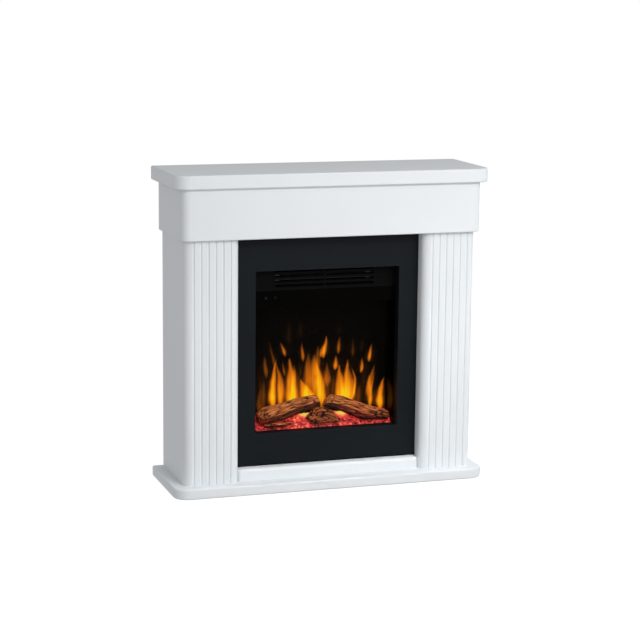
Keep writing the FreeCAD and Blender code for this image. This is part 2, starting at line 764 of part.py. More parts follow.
def firewood():
    """The logs, from the left end to the right, and a thin stick in front of them."""
    bed = prism_x(bed_outline(0), -WIDTH, WIDTH)
    left = log([
        ((-164, -1, 161), 15, (1, 0.02, 0.1)),
        ((-146, -1, 165), 23.5, (1, 0.02, 0.14)),
        ((-105, -1, 173), 23, (1, 0.02, 0.24)),
        ((-55, -2, 190), 21.5, (1, 0.02, 0.3)),
        ((-3, -3, 199), 16.5, (1, 0.02, 0.38)),
    ])
    right = log([
        ((10, -4, 193), 11, (1, -0.02, -0.5)),
        ((25, -3, 195), 18.5, (1, -0.02, -0.2)),
        ((60, -2, 185), 21, (1, -0.02, -0.35)),
        ((115, -2, 162), 22.5, (1, -0.02, -0.36)),
        ((150, -2, 153), 20.5, (1, -0.02, -0.24)),
        ((182, -3, 147), 15.5, (1, -0.02, -0.16)),
    ])
    centre = wedge(
        [(-20, 134), (-20, 152), (-9, 178), (2, 179), (36, 165), (47, 142), (47, 134)], -14,
        [(-38, 134), (-38, 155), (-12, 181), (4, 183), (40, 168), (55, 146), (55, 134)], 7)
    stick = log([
        ((-150, -19, 146), 4.5, (1, 0.1, -0.02)),
        ((-110, -18, 146), 5.5, (1, 0.1, 0.02)),
        ((-78, -16, 147), 4.0, (1, 0.1, 0.02)),
    ])
    left = left.cut(bed)
    right = right.cut(bed)
    centre = centre.cut(bed).cut(left).cut(right)
    stick = stick.cut(bed).cut(left)
    return {"log_left": left, "log_right": right, "log_centre": centre, "kindling_stick": stick}


def flame_stencil():
    """The polished sheet with flame-shaped openings between the projector and the screen."""
    sheet = block(-JAMB_HALF, JAMB_HALF, STENCIL_Y, STENCIL_Y + 1, OPENING_BOTTOM, SHELF_LEVEL)
    for index in range(9):
        x = (index - 4) * 38.0
        height = 120 + 60 * math.cos(index * 1.9)
        foot = 175.0
        corners = [(x - 9, foot), (x - 3, foot + height), (x + 9, foot + 0.35 * height), (x + 6, foot)]
        points = [Vector(px, STENCIL_Y, pz) for px, pz in corners]
        face = Part.Face(Part.makePolygon(points + points[:1]))
        sheet = sheet.cut(face.extrude(Vector(0, 1, 0)))
    return sheet


def flame_rotor():
    """The turning spindle with its rows of bright flags that make the light flicker."""
    half = JAMB_HALF - 6
    spindle = rod(SPINDLE_RADIUS, 2 * JAMB_HALF + 34, (-JAMB_HALF - 22, ROTOR_Y, ROTOR_Z), X_AXIS)
    flags = []
    for index in range(ROTOR_ROWS):
        x = -half + (index + 0.5) * 2 * half / ROTOR_ROWS
        x0 = x - FLAG_HALF_WIDTH
        x1 = x + FLAG_HALF_WIDTH
        y0 = ROTOR_Y - FLAG_HALF_THICKNESS
        y1 = ROTOR_Y + FLAG_HALF_THICKNESS
        flag = block(x0, x1, y0, y1, ROTOR_Z - ROTOR_REACH, ROTOR_Z + ROTOR_REACH)
        flag.rotate(Vector(x, ROTOR_Y, ROTOR_Z), X_AXIS, index * 50)
        flags.append(flag)
    return joined([spindle] + flags)


def rotor_bracket(side):
    """An upright plate that carries one end of the rotor, with a foot on the case floor."""
    x0 = side * (JAMB_HALF + 4)
    x1 = x0 + side * ROTOR_PLATE
    floor = CASE_BOTTOM + SHEET
    upright = block(x0, x1, ROTOR_Y - 18, ROTOR_Y + 18, floor, ROTOR_Z + 20)
    foot = block(x1, x1 + side * 14, ROTOR_Y - 18, ROTOR_Y + 18, floor, floor + ROTOR_PLATE)
    bush_hole = rod(ROTOR_BUSH_RADIUS, 10, (x0 - side * 4, ROTOR_Y, ROTOR_Z), X_AXIS * side)
    lead_hole = rod(8.0, 10, (x0 - side * 4, ROTOR_Y - 5, ROTOR_Z - 60), X_AXIS * side)
    return joined([upright, foot]).cut(bush_hole).cut(lead_hole)


def rotor_bush(side):
    """A flanged bush for the rotor spindle, pressed through its bracket."""
    x0 = side * (JAMB_HALF + 4)
    sleeve = rod(ROTOR_BUSH_RADIUS, ROTOR_PLATE, (x0, ROTOR_Y, ROTOR_Z), X_AXIS * side)
    flange = rod(8.0, 2.0, (x0 - side * 2.0, ROTOR_Y, ROTOR_Z), X_AXIS * side)
    bore = rod(SPINDLE_RADIUS + RUNNING_GAP, 30, (x0 - side * 15, ROTOR_Y, ROTOR_Z), X_AXIS * side)
    return joined([sleeve, flange]).cut(bore)


def rotor_motor():
    """The small geared motor on the left bracket; the spindle's end runs in its output hole."""
    x0 = -(JAMB_HALF + 4 + ROTOR_PLATE)
    body = rod(18.0, 24, (x0, ROTOR_Y, ROTOR_Z), -X_AXIS)
    ear = block(x0, x0 - 1.5, ROTOR_Y - 6, ROTOR_Y + 6, ROTOR_Z - 26, ROTOR_Z)
    bore = rod(SPINDLE_RADIUS + RUNNING_GAP, 20, (x0, ROTOR_Y, ROTOR_Z), -X_AXIS)
    return joined([body, ear]).cut(bore)


def led_strip(y0, y1, z, count):
    """A lamp board on four feet and its row of lamps, laid along X."""
    half = JAMB_HALF - 20
    board = block(-half, half, y0, y1, z, z + 1.6)
    lamps = []
    middle = (y0 + y1) / 2
    for index in range(count):
        x = -half + (index + 0.5) * 2 * half / count
        lamps.append(block(x - 2.5, x + 2.5, middle - 2.5, middle + 2.5, z + 1.6, z + 3.2))
    return board, lamps


def firebox():
    """The inside of the insert behind the glass."""
    tray_half = JAMB_HALF
    ember_board, ember_lamps = led_strip(-14, 4, TRAY_LEVEL + SHEET + 3, 14)
    flame_board, flame_lamps = led_strip(62, 80, CASE_BOTTOM + SHEET + 8, 18)
    nodes = {}
    liners = []
    for side, _ in SIDES:
        inner = side * JAMB_HALF
        y0 = FASCIA_BACK
        y1 = SCREEN_FRONT + SCREEN_THICKNESS
        liners.append(block(inner, inner + side * SHEET, y0, y1, OPENING_BOTTOM - 5, SHELF_LEVEL))
    nodes["firebox_liners"] = group(liners)
    nodes["ember_tray"] = block(-tray_half, tray_half, FASCIA_BACK, SCREEN_FRONT,
                                TRAY_LEVEL, TRAY_LEVEL + SHEET)
    nodes["flame_screen"] = block(-JAMB_HALF, JAMB_HALF, SCREEN_FRONT, SCREEN_FRONT + SCREEN_THICKNESS,
                                  TRAY_LEVEL, SHELF_LEVEL)
    nodes["ember_bed"] = ember_bed()
    nodes.update(firewood())
    nodes["flame_stencil"] = flame_stencil()
    nodes["flame_rotor"] = flame_rotor()
    nodes["rotor_brackets"] = group([rotor_bracket(side) for side, _ in SIDES])
    nodes["rotor_motor"] = rotor_motor()
    nodes["lamp_boards"] = group([ember_board, flame_board] + ember_lamps + flame_lamps)
    return nodes


# ---------------------------------------------------------------- fan heater

def fan_impeller():
    """The long cross-flow impeller with its shaft and the small rotor of its motor."""
    parts = []
    for x in (-FAN_HALF, -0.5, FAN_HALF - 1):
        parts.append(rod(FAN_RADIUS, 1.0, (x, FAN_Y, FAN_Z), X_AXIS))
    for index in range(FAN_BLADES):
        rim = FAN_Y + FAN_RADIUS
        blade = block(-FAN_HALF, FAN_HALF, rim - 6, rim - 0.8, FAN_Z, FAN_Z + 0.8)
        blade.rotate(Vector(0, rim - 3, FAN_Z), X_AXIS, 28)
        blade.rotate(Vector(0, FAN_Y, FAN_Z), X_AXIS, index * 360.0 / FAN_BLADES)
        parts.append(blade)
    shaft = rod(SHAFT_RADIUS, 2 * FAN_HALF + 70, (-FAN_HALF - 20, FAN_Y, FAN_Z), X_AXIS)
    rotor = rod(MOTOR_ROTOR_RADIUS, MOTOR_LENGTH, (FAN_HALF + MOTOR_GAP, FAN_Y, FAN_Z), X_AXIS)
    return joined(parts + [shaft, rotor])


def blower_scroll():
    """The curved rear and lower wall that guides the air forward to the grille."""
    x0 = -DUCT_HALF
    length = 2 * DUCT_HALF
    arc = ring(SCROLL_RADIUS + 1, SCROLL_RADIUS, length, (x0, FAN_Y, FAN_Z), X_AXIS)
    keep = block(-DUCT_HALF, DUCT_HALF, FAN_Y, FAN_Y + 40, FAN_Z - 40, FAN_Z + 6)
    low = FAN_Z - SCROLL_RADIUS
    front = DUCT_FRONT
    floor = prism_x([(front, 495), (FAN_Y, low - 1), (FAN_Y, low), (front, 496)], -DUCT_HALF, DUCT_HALF)
    return joined([arc.common(keep), floor])


def blower_tongue():
    """The upper duct wall that closes the outlet in front of the impeller."""
    front = DUCT_FRONT
    root = FAN_Y - FAN_RADIUS - 3
    outline = [(front, 544), (root, 549), (root, 558), (root - 1, 558), (root - 1, 550), (front, 545)]
    return prism_x(outline, -DUCT_HALF, DUCT_HALF)


def blower_end(side):
    """The end plate of the blower, standing on the heater shelf."""
    x0 = side * DUCT_HALF
    x1 = x0 + side * SHEET
    low = SHELF_LEVEL + SHEET
    front = DUCT_FRONT
    plate = block(x0, x1, front, FAN_Y + 33, low, FAN_Z + 30)
    foot = block(x1, x1 + side * 10, front, FAN_Y + 33, low, low + SHEET)
    hole = rod(FAN_BUSH_RADIUS, 10, (x0 - side * 4, FAN_Y, FAN_Z), X_AXIS * side)
    return joined([plate, foot]).cut(hole)


def fan_bush(side):
    """A rubber-cushioned bush for the impeller shaft in the blower's end plate."""
    x0 = side * DUCT_HALF
    bush = rod(FAN_BUSH_RADIUS, 5.0, (x0, FAN_Y, FAN_Z), X_AXIS * side)
    bore = rod(SHAFT_RADIUS + RUNNING_GAP, 10, (x0 - side * 2, FAN_Y, FAN_Z), X_AXIS * side)
    return bush.cut(bore)


def fan_motor():
    """The shaded-pole motor: a laminated core around the rotor and its coil below."""
    x0 = FAN_HALF + MOTOR_GAP
    x1 = x0 + MOTOR_LENGTH
    core = block(x0, x1, FAN_Y - 23, FAN_Y + 23, FAN_Z - 44, FAN_Z + 21)
    core = core.cut(rod(MOTOR_ROTOR_RADIUS + 0.5, MOTOR_LENGTH, (x0, FAN_Y, FAN_Z), X_AXIS))
    window = block(x0, x1, FAN_Y - 14, FAN_Y + 14, FAN_Z - 34, FAN_Z - 14)
    core = core.cut(window)
    bridge = block(x0, x1, FAN_Y - 14, FAN_Y + 14, FAN_Z - 28, FAN_Z - 20)
    core = joined([core, bridge])
    coil = block(x0 - 6, x0 + 24, FAN_Y - 12, FAN_Y + 12, FAN_Z - 33, FAN_Z - 15.5)
    coil = coil.cut(bridge)
    return core, coil


def motor_posts():
    """Four posts that hold the motor's core off the blower's right end plate."""
    x0 = DUCT_HALF + SHEET
    x1 = FAN_HALF + MOTOR_GAP
    posts = []
    for dy in (-19.0, 19.0):
        posts.append(rod(2.5, x1 - x0, (x0, FAN_Y + dy, FAN_Z - 10), X_AXIS))
        posts.append(rod(2.5, x1 - x0, (x0, FAN_Y + dy, FAN_Z + 16), X_AXIS))
    return posts


def heater():
    """The ceramic heater in the outlet duct: two bars and a pack of thin fins, in end holders."""
    bars = []
    for z in HEATER_BARS:
        bars.append(block(-HEATER_HALF, HEATER_HALF, -HEATER_DEPTH, 0, z - 2, z + 2))
    fins = []
    fin_reach = HEATER_HALF - 2
    low = HEATER_BARS[0] + 2
    high = HEATER_BARS[1] - 2
    for index in range(FIN_COUNT):
        x = -fin_reach + index * 2 * fin_reach / (FIN_COUNT - 1)
        fins.append(block(x - 0.3, x + 0.3, -HEATER_DEPTH, 0, low, high))
    holders = []
    for side, _ in SIDES:
        x0 = side * HEATER_HALF
        holders.append(block(x0, side * DUCT_HALF, -HEATER_DEPTH - 2, 2, low - 6, high + 8))
    return bars, fins, holders


def power_board():
    """The supply board on the heater shelf with its relays and its terminal block."""
    low = SHELF_LEVEL + SHEET
    x0 = -212.0
    x1 = -148.0
    board = block(x0, x1, 5, 95, low + 6, low + 7.6)
    feet = []
    for x in (x0 + 5, x1 - 5):
        for y in (10, 90):
            feet.append(rod(2.5, 6, (x, y, low), Z_AXIS))
    top = low + 7.6
    relays = []
    for index in range(3):
        relays.append(block(-206, -190, 14 + index * 20, 30 + index * 20, top, top + 15))
    relays.append(rod(7, 22, (-172, 28, top), Z_AXIS))
    relays.append(block(-180, -160, 44, 62, top, top + 17))
    terminals = block(-182, -154, 72, 88, top, top + 12)
    for index in range(3):
        terminals = terminals.cut(rod(2.2, 6, (-176 + index * 8, 80, top + 6), Z_AXIS))
    return board, feet, relays, terminals


def cable_gland():
    """The mains entry: a flanged gland with its nut; the cable's way through it is clear."""
    y0 = CASE_BACK + SHEET
    centre = (GLAND_X, y0, GLAND_Z)
    body = rod(GLAND_THREAD, 14, (GLAND_X, CASE_BACK - 10, GLAND_Z), Y_AXIS)
    body = body.fuse(rod(GLAND_FLANGE, 3, centre, Y_AXIS))
    body = body.fuse(rod(GLAND_CAP, 12, centre, Y_AXIS))
    body = body.cut(rod(GLAND_BORE, 60, (GLAND_X, CASE_BACK - 30, GLAND_Z), Y_AXIS)).removeSplitter()
    corners = []
    for index in range(6):
        angle = index * math.pi / 3
        x = GLAND_X + GLAND_NUT * math.cos(angle)
        z = GLAND_Z + GLAND_NUT * math.sin(angle)
        corners.append(Vector(x, CASE_BACK, z))
    nut = Part.Face(Part.makePolygon(corners + corners[:1])).extrude(Vector(0, -5, 0))
    nut = nut.cut(rod(GLAND_THREAD, 20, (GLAND_X, CASE_BACK - 12, GLAND_Z), Y_AXIS))
    return body, nut


def lead(points):
    """A round lead of straight runs joined by tangent arcs."""
    stops = [Vector(*point) for point in points]
    edges = []
    start = stops[0]
    for before, corner, after in zip(stops, stops[1:], stops[2:]):
        incoming = (corner - before).normalize()
        outgoing = (after - corner).normalize()
        turn = incoming.getAngle(outgoing)
        setback = 0.45 * min((corner - before).Length, (after - corner).Length)
        radius = setback / math.tan(turn / 2)
        arc_start = corner - incoming * setback
        arc_end = corner + outgoing * setback
        bend = (outgoing - incoming).normalize()
        centre = corner + bend * math.hypot(radius, setback)
        arc_middle = centre - bend * radius
        edges.append(Part.LineSegment(start, arc_start).toShape())
        edges.append(Part.Arc(arc_start, arc_middle, arc_end).toShape())
        start = arc_end
    edges.append(Part.LineSegment(start, stops[-1]).toShape())
    path = Part.Wire(edges)
    first = (stops[1] - stops[0]).normalize()
    section = Part.Wire(Part.Circle(stops[0], first, LEAD_RADIUS).toShape())
    return path.makePipeShell([section], True, False)


def supply_lead():
    """The sleeved lead from the gland, up behind the rotor, to the terminal block."""
    top = SHELF_LEVEL + SHEET + 7.6 + 12
    return lead([
        (GLAND_X, CASE_BACK - 10, GLAND_Z), (GLAND_X, 78, GLAND_Z), (186, 74, 104), (LEAD_LINE, 80, 128),
        (LEAD_LINE, 90, 190), (LEAD_LINE, 92, 260), (LEAD_LINE, 91, 330), (LEAD_LINE, 92, 400),
        (LEAD_LINE, 91, 470), (LEAD_LINE, 92, 530), (190, 93, 575), (140, 94, 592), (70, 93, 594),
        (0, 94, 593), (-70, 93, 594), (-130, 92, 588), (-162, 86, 562), (-168, 80, 530), (-168, 80, top),
    ])


def fan_heater():
    """The warm air side of the insert, above its shelf, and the electrical parts."""
    core, coil = fan_motor()
    bars, fins, holders = heater()
    board, feet, relays, terminals = power_board()
    gland, gland_nut = cable_gland()
    inner = CASE_HALF - SHEET
    nodes = {}
    shelf = block(-inner, inner, FASCIA_BACK + 1, CASE_BACK - SHEET,
                  SHELF_LEVEL, SHELF_LEVEL + SHEET)
    nodes["heater_shelf"] = shelf.cut(rod(6, 20, (LEAD_LINE, 91, SHELF_LEVEL - 10), Z_AXIS))
    nodes["supply_lead"] = supply_lead()
    nodes["fan_impeller"] = fan_impeller()
    nodes["blower_duct"] = group([blower_scroll(), blower_tongue()])
    nodes["blower_ends"] = group([blower_end(side) for side, _ in SIDES] + motor_posts())
    nodes["shaft_bushes"] = group([bush(side) for side, _ in SIDES for bush in (fan_bush, rotor_bush)])
    nodes["fan_motor"] = group([core, coil])
    nodes["heater_core"] = group(bars + fins + holders)
    nodes["thermal_cutout"] = rod(8, 9, (60, -6, 548.5), Z_AXIS)
    nodes["power_board"] = group([board] + feet + relays)
    nodes["terminal_block"] = terminals
    nodes["cable_gland"] = group([gland, gland_nut])
    return nodes


def main():
    os.makedirs("parts", exist_ok=True)
    tabs, tab_screws = insert_tabs()
    nodes, surround_screws = surround(group(tab_screws))
    case_nodes, case_screws = insert_case(tabs, tab_screws)
    nodes.update(case_nodes)
    nodes["pan_screws"] = group(surround_screws + tab_screws + case_screws)
    nodes.update(trim())
    nodes.update(fascia())
    nodes.update(firebox())
    nodes.update(fan_heater())
    for name, shape in nodes.items():
        shape.exportStep("parts/" + name + ".step")
    print(len(nodes), "nodes")


main()
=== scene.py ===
import json
import math

import bpy
import numpy as np
from mathutils import Matrix, Vector, kdtree
from mathutils import noise as mnoise


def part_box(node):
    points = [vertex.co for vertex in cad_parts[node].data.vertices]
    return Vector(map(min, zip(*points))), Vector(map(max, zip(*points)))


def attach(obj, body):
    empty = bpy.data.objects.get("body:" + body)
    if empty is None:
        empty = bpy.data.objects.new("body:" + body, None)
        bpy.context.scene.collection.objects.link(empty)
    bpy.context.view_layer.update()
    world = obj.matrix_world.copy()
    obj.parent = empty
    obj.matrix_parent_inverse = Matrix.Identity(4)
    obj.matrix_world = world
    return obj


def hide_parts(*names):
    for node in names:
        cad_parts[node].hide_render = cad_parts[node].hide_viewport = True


# The looks of the electric fireplace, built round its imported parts. Lengths are in metres.

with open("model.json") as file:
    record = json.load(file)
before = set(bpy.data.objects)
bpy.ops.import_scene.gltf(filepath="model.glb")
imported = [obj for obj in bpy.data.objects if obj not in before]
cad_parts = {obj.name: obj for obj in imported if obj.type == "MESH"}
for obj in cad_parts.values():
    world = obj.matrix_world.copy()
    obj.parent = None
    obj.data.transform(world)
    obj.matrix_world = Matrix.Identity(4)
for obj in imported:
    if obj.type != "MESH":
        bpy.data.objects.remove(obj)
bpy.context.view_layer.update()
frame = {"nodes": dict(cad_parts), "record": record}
NODES = frame["nodes"]

MM = 0.001


# ---------------------------------------------------------------- node helpers

def new_material(name):
    """A material with a Principled shader, and its tree."""
    material = bpy.data.materials.new(name)
    material.use_nodes = True
    tree = material.node_tree
    shader = tree.nodes["Principled BSDF"]
    return material, tree, shader


def add(tree, kind, **values):
    """A node with its plain settings and its input values."""
    node = tree.nodes.new(kind)
    for key, value in values.items():
        if key in node.inputs:
            node.inputs[key].default_value = value
        else:
            setattr(node, key, value)
    return node


def link(tree, out_socket, in_socket):
    tree.links.new(out_socket, in_socket)


def place(tree, scale=(1, 1, 1)):
    """Object coordinates, stretched, in metres."""
    coords = add(tree, "ShaderNodeTexCoord")
    mapping = add(tree, "ShaderNodeMapping")
    mapping.inputs["Scale"].default_value = scale
    link(tree, coords.outputs["Object"], mapping.inputs["Vector"])
    return mapping.outputs["Vector"]


def noise(tree, vector, scale, detail=4.0, roughness=0.55):
    node = add(tree, "ShaderNodeTexNoise")
    node.inputs["Scale"].default_value = scale
    node.inputs["Detail"].default_value = detail
    node.inputs["Roughness"].default_value = roughness
    link(tree, vector, node.inputs["Vector"])
    return node.outputs["Fac"]


def ramp(tree, factor, stops):
    """A colour ramp; stops are (position, colour)."""
    node = add(tree, "ShaderNodeValToRGB")
    elements = node.color_ramp.elements
    for element, (position, colour) in ((elements[0], stops[0]), (elements[1], stops[-1])):
        element.position = position
        element.color = (*colour, 1.0)
    for position, colour in stops[1:-1]:
        elements.new(position).color = (*colour, 1.0)
    link(tree, factor, node.inputs["Fac"])
    return node.outputs["Color"]


def spread(tree, factor, low, high):
    """A 0 to 1 value mapped to a range."""
    node = add(tree, "ShaderNodeMapRange")
    node.inputs["To Min"].default_value = low
    node.inputs["To Max"].default_value = high
    link(tree, factor, node.inputs["Value"])
    return node.outputs["Result"]


def bump(tree, shader, height, strength, distance):
    node = add(tree, "ShaderNodeBump")
    node.inputs["Strength"].default_value = strength
    node.inputs["Distance"].default_value = distance
    link(tree, height, node.inputs["Height"])
    link(tree, node.outputs["Normal"], shader.inputs["Normal"])


def shade(colour, factor):
    return tuple(channel * factor for channel in colour)


# ---------------------------------------------------------------- materials

def painted_board():
    """Satin white paint on MDF: a faint roller texture, and a faint change of tone."""
    material, tree, shader = new_material("white_board")
    where = place(tree)
    tone = noise(tree, where, scale=3.0, detail=3.0)
    paint = (0.775, 0.805, 0.830)
    colour = ramp(tree, tone, [(0.3, shade(paint, 0.985)), (0.7, shade(paint, 1.01))])
    link(tree, colour, shader.inputs["Base Color"])
    fine = noise(tree, where, scale=900.0, detail=3.0)
    link(tree, spread(tree, fine, low=0.38, high=0.48), shader.inputs["Roughness"])
    shader.inputs["Specular IOR Level"].default_value = 0.22
    roller = noise(tree, where, scale=420.0, detail=2.0)
    bump(tree, shader, roller, strength=0.10, distance=0.0003)
    return material


def plain(name, colour, roughness, metallic=0.0, grain=600.0, depth=0.12, vary=0.12,
          specular=0.5):
    """A simple surface with fine grain, small changes of tone and of gloss."""
    material, tree, shader = new_material(name)
    where = place(tree)
    tone = noise(tree, where, scale=40.0, detail=5.0)
    colours = ramp(tree, tone, [(0.3, shade(colour, 1 - vary)), (0.7, shade(colour, 1 + vary))])
    link(tree, colours, shader.inputs["Base Color"])
    fine = noise(tree, where, scale=grain, detail=3.0)
    gloss = spread(tree, fine, low=roughness * 0.85, high=roughness * 1.15)
    link(tree, gloss, shader.inputs["Roughness"])
    shader.inputs["Metallic"].default_value = metallic
    shader.inputs["Specular IOR Level"].default_value = specular
    bump(tree, shader, fine, strength=depth, distance=0.0003)
    return material


def powder_coat():
    """Fine satin powder coat, dark slate, with its speckled texture."""
    material, tree, shader = new_material("black_steel")
    where = place(tree)
    tone = noise(tree, where, scale=6.0, detail=3.0)
    slate = (0.0062, 0.0086, 0.0112)
    stops = [(0.3, shade(slate, 0.92)), (0.7, shade(slate, 1.1))]
    link(tree, ramp(tree, tone, stops), shader.inputs["Base Color"])
    fine = noise(tree, where, scale=1500.0, detail=2.0)
    link(tree, spread(tree, fine, low=0.42, high=0.54), shader.inputs["Roughness"])
    shader.inputs["Specular IOR Level"].default_value = 0.10
    bump(tree, shader, fine, strength=0.18, distance=0.0002)
    return material


def board_core():
    """Bare MDF: a light brown felt of fibres."""
    material, tree, shader = new_material("raw_board")
    where = place(tree, (1, 1, 4))
    fibres = noise(tree, where, scale=260.0, detail=6.0, roughness=0.7)
    stops = [(0.3, (0.28, 0.19, 0.11)), (0.7, (0.44, 0.32, 0.20))]
    link(tree, ramp(tree, fibres, stops), shader.inputs["Base Color"])
    shader.inputs["Roughness"].default_value = 0.85
    bump(tree, shader, fibres, strength=0.2, distance=0.0005)
    return material


def clear_glass():
    """The thin tempered front pane."""
    material, tree, shader = new_material("clear_glass")
    smears = noise(tree, place(tree), scale=8.0)
    link(tree, spread(tree, smears, low=0.02, high=0.05), shader.inputs["Roughness"])
    shader.inputs["Base Color"].default_value = (0.004, 0.004, 0.004, 1)
    shader.inputs["Specular IOR Level"].default_value = 0.10
    shader.inputs["Alpha"].default_value = 0.04
    return material


def measured(tree, name):
    """A value that the mesh holds at each point."""
    return add(tree, "ShaderNodeAttribute", attribute_name=name).outputs["Fac"]


FLAME_STOPS = [
    (0.00, (0.0014, 0.0010, 0.0005)),
    (0.16, (0.0180, 0.0065, 0.0014)),
    (0.34, (0.1700, 0.0430, 0.0030)),
    (0.54, (0.5800, 0.1300, 0.0035)),
    (0.74, (0.9300, 0.2700, 0.0045)),
    (0.90, (1.0000, 0.4400, 0.0055)),
    (1.00, (1.0000, 0.6200, 0.0100)),
]


def flame_picture():
    """The smoked screen with the flames thrown on it from behind."""
    material, tree, shader = new_material("flame_screen")
    glow = measured(tree, "flame_glow")
    link(tree, ramp(tree, glow, FLAME_STOPS), shader.inputs["Emission Color"])
    shader.inputs["Emission Strength"].default_value = 1.0
    shader.inputs["Base Color"].default_value = (0.0010, 0.0008, 0.0006, 1)
    fine = noise(tree, place(tree), scale=500.0, detail=2.0)
    link(tree, spread(tree, fine, low=0.45, high=0.6), shader.inputs["Roughness"])
    shader.inputs["Specular IOR Level"].default_value = 0.01
    return material


EMBER_STOPS = [
    (0.00, (0.030, 0.002, 0.002)),
    (0.25, (0.190, 0.006, 0.007)),
    (0.50, (0.540, 0.024, 0.022)),
    (0.72, (0.920, 0.085, 0.062)),
    (0.86, (1.000, 0.270, 0.080)),
    (1.00, (1.000, 0.640, 0.110)),
]


def ember_resin():
    """Pink-red resin embers, lit from below."""
    material, tree, shader = new_material("embers")
    heat = measured(tree, "ember_heat")
    link(tree, ramp(tree, heat, EMBER_STOPS), shader.inputs["Emission Color"])
    shader.inputs["Emission Strength"].default_value = 0.85
    base = [(0.0, (0.03, 0.008, 0.008)), (1.0, (0.35, 0.06, 0.05))]
    link(tree, ramp(tree, heat, base), shader.inputs["Base Color"])
    fine = noise(tree, place(tree), scale=700.0, detail=3.0)
    link(tree, spread(tree, fine, low=0.35, high=0.6), shader.inputs["Roughness"])
    shader.inputs["Specular IOR Level"].default_value = 0.1
    bump(tree, shader, fine, strength=0.5, distance=0.0004)
    return material


BARK_STOPS = [
    (0.00, (0.010, 0.004, 0.004)),
    (0.25, (0.130, 0.034, 0.011)),
    (0.55, (0.500, 0.140, 0.036)),
    (1.00, (0.880, 0.370, 0.100)),
]
# Painted glow: the colours of the embers' red light, painted on the logs as emission.
EMBER_GLOW_STOPS = [
    (0.00, (0.000, 0.000, 0.000)),
    (0.50, (0.080, 0.006, 0.004)),
    (1.00, (0.400, 0.030, 0.020)),
]


def painted_bark():
    """Moulded logs: tan ridges, dark cracks, painted shade on faces turned down, and a painted
    red glow, strongest low down, for the embers' light on them.
    """
    material, tree, shader = new_material("log_bark")
    ridge_and_shade = measured(tree, "bark_tone_and_shade")
    link(tree, ramp(tree, ridge_and_shade, BARK_STOPS), shader.inputs["Base Color"])
    ember_glow = measured(tree, "bark_ember_glow")
    link(tree, ramp(tree, ember_glow, EMBER_GLOW_STOPS), shader.inputs["Emission Color"])
    shader.inputs["Emission Strength"].default_value = 1.0
    where = place(tree, (1, 3, 3))
    fibres = noise(tree, where, scale=320.0, detail=4.0)
    link(tree, spread(tree, fibres, low=0.7, high=0.95), shader.inputs["Roughness"])
    shader.inputs["Specular IOR Level"].default_value = 0.2
    bump(tree, shader, fibres, strength=0.5, distance=0.0006)
    return material


MATERIALS = {
    "white_board": painted_board(),
    "raw_board": board_core(),
    "beech": plain("beech", (0.52, 0.34, 0.18), 0.6, grain=300.0),
    "zinc_steel": plain("zinc_steel", (0.62, 0.63, 0.65), 0.32, metallic=1.0),
    "cast_zinc": plain("cast_zinc", (0.45, 0.46, 0.47), 0.45, metallic=1.0, vary=0.2),
    "black_steel": powder_coat(),
    "case_steel": plain("case_steel", (0.006, 0.006, 0.007), 0.65, grain=1200.0, specular=0.06),
    "black_plastic": plain(
        "black_plastic", (0.0026, 0.0027, 0.0029), 0.45, grain=900.0, specular=0.04),
    "gloss_black": plain(
        "gloss_black", (0.0014, 0.0012, 0.0010), 0.12, grain=30.0, depth=0.01, specular=0.02),
    "clear_glass": clear_glass(),
    "circuit_board": plain("circuit_board", (0.01, 0.10, 0.04), 0.4, grain=200.0),
    "flame_screen": flame_picture(),
    "embers": ember_resin(),
    "log_bark": painted_bark(),
    "mirror_sheet": plain("mirror_sheet", (0.8, 0.8, 0.8), 0.12, metallic=1.0, vary=0.03),
    "bush_plastic": plain("bush_plastic", (0.7, 0.67, 0.6), 0.5),
    "bare_aluminium": plain(
        "bare_aluminium", (0.10, 0.10, 0.105), 0.6, metallic=0.8, specular=0.1),
    "motor_iron": plain("motor_iron", (0.12, 0.11, 0.10), 0.5, metallic=0.8, vary=0.3),
    "white_plastic": plain("white_plastic", (0.75, 0.75, 0.72), 0.45),
    "cable_sleeve": plain("cable_sleeve", (0.012, 0.012, 0.012), 0.6),
}


def dress(node, material):
    mesh = NODES[node].data
    mesh.materials.clear()
    mesh.materials.append(material)


for row in frame["record"]["subparts"]:
    dress(row["node"], MATERIALS[row["material_slot"]])


# ---------------------------------------------------------------- mesh helpers

def new_piece(name, mesh, material, replaced=(), body="root"):
    """Puts a mesh in the scene as a piece of the object."""
    piece = bpy.data.objects.new(name, mesh)
    bpy.context.scene.collection.objects.link(piece)
    mesh.materials.clear()
    mesh.materials.append(material)
    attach(piece, body)
    if replaced:
        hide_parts(*replaced)
    return piece


def hold(mesh, name, values):
    """Stores one number per point, for a material to read."""
    layer = mesh.attributes.new(name, "FLOAT", "POINT")
    layer.data.foreach_set("value", np.asarray(values, dtype=np.float32))


def points_of(mesh, what="co"):
    """The places, or the normals, of all points of a mesh, one row each."""
    flat = np.empty(len(mesh.vertices) * 3, dtype=np.float32)
    mesh.vertices.foreach_get(what, flat)
    return flat.reshape(-1, 3).astype(float)


def move_points(mesh, points):
    mesh.vertices.foreach_set("co", points.astype(np.float32).ravel())
    mesh.update()


def smooth(mesh):
    mesh.polygons.foreach_set("use_smooth", [True] * len(mesh.polygons))


def field(points, size, seed=0.0):
    """Soft noise from -1 to 1 at each point; size is the grain along x, y and z."""
    spots = points / np.asarray(size) + seed
    return np.array([mnoise.noise(Vector(spot)) for spot in spots])


def ease(value, low, high):
    """Smoothstep from 0 at low to 1 at high."""
    t = np.clip((value - low) / (high - low), 0.0, 1.0)
    return t * t * (3 - 2 * t)


